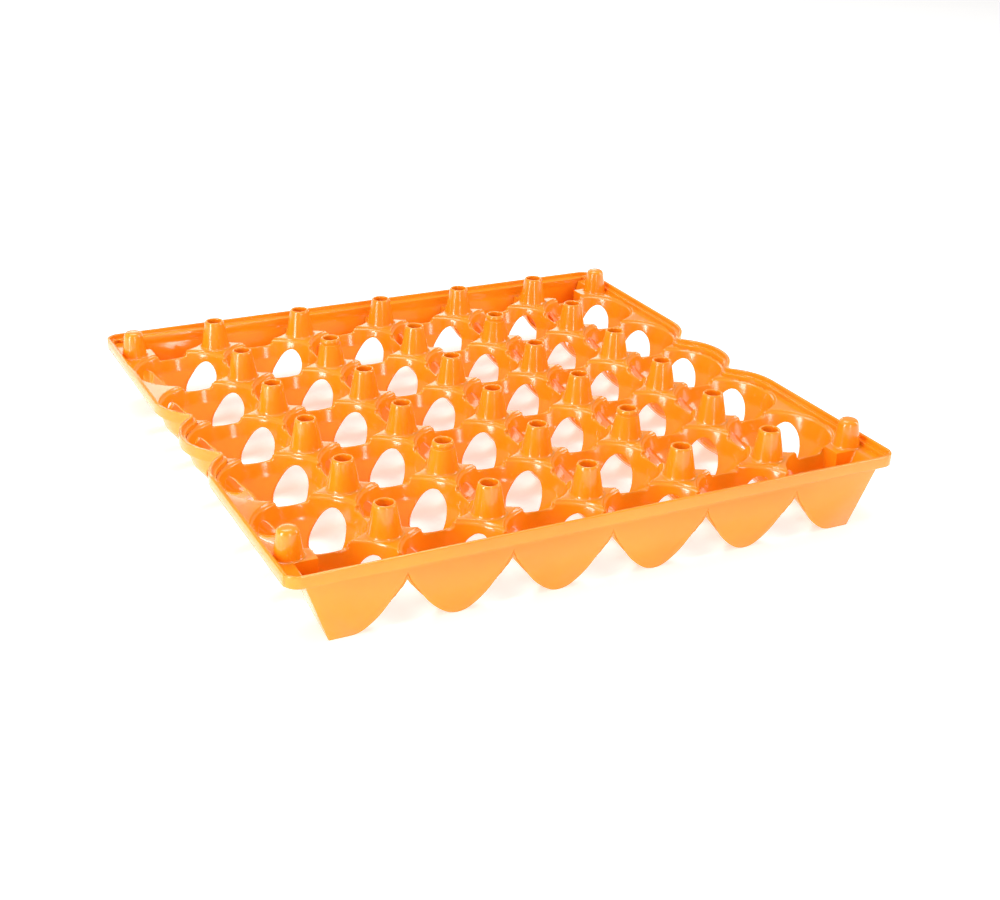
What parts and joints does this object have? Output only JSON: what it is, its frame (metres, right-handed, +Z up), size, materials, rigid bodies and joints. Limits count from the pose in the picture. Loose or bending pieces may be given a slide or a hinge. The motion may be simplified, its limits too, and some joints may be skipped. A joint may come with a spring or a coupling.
{
  "type": "egg tray",
  "caption": "Stacking egg tray moulded in orange plastic, with round cups, windowed pillars under hollow pegs, scalloped end skirts and finger notches in both sides.",
  "frame": {"origin": "centre of the base, on the plane of the cup seats", "axes": "+X to the right along the front skirt, +Y from the front skirt to the back skirt, +Z up"},
  "size_m": [0.2976, 0.2976, 0.0465],
  "materials": {
    "tray_plastic": "satin, as moulded"
  },
  "bodies": {
    "root": {"cell_row1_col1": "tray_plastic", "cell_row1_col2": "tray_plastic", "cell_row1_col3": "tray_plastic", "cell_row1_col4": "tray_plastic", "cell_row1_col5": "tray_plastic", "cell_row1_col6": "tray_plastic", "cell_row2_col1": "tray_plastic", "cell_row2_col2": "tray_plastic", "cell_row2_col3": "tray_plastic", "cell_row2_col4": "tray_plastic", "cell_row2_col5": "tray_plastic", "cell_row2_col6": "tray_plastic", "cell_row3_col1": "tray_plastic", "cell_row3_col2": "tray_plastic", "cell_row3_col3": "tray_plastic", "cell_row3_col4": "tray_plastic", "cell_row3_col5": "tray_plastic", "cell_row3_col6": "tray_plastic", "cell_row4_col1": "tray_plastic", "cell_row4_col2": "tray_plastic", "cell_row4_col3": "tray_plastic", "cell_row4_col4": "tray_plastic", "cell_row4_col5": "tray_plastic", "cell_row4_col6": "tray_plastic", "cell_row5_col1": "tray_plastic", "cell_row5_col2": "tray_plastic", "cell_row5_col3": "tray_plastic", "cell_row5_col4": "tray_plastic", "cell_row5_col5": "tray_plastic", "cell_row5_col6": "tray_plastic", "corner_peg_back_left": "tray_plastic", "corner_peg_back_right": "tray_plastic", "corner_peg_front_left": "tray_plastic", "corner_peg_front_right": "tray_plastic", "half_cell_back_col1": "tray_plastic", "half_cell_back_col2": "tray_plastic", "half_cell_back_col3": "tray_plastic", "half_cell_back_col4": "tray_plastic", "half_cell_back_col5": "tray_plastic", "half_cell_back_col6": "tray_plastic", "half_cell_front_col1": "tray_plastic", "half_cell_front_col2": "tray_plastic", "half_cell_front_col3": "tray_plastic", "half_cell_front_col4": "tray_plastic", "half_cell_front_col5": "tray_plastic", "half_cell_front_col6": "tray_plastic", "rim_back": "tray_plastic", "rim_front": "tray_plastic", "rim_left": "tray_plastic", "rim_right": "tray_plastic", "skirt_back": "tray_plastic", "skirt_front": "tray_plastic", "stacking_pegs_row1": "tray_plastic", "stacking_pegs_row2": "tray_plastic", "stacking_pegs_row3": "tray_plastic", "stacking_pegs_row4": "tray_plastic", "stacking_pegs_row5": "tray_plastic", "stacking_pegs_row6": "tray_plastic"}
  },
  "joints": []
}
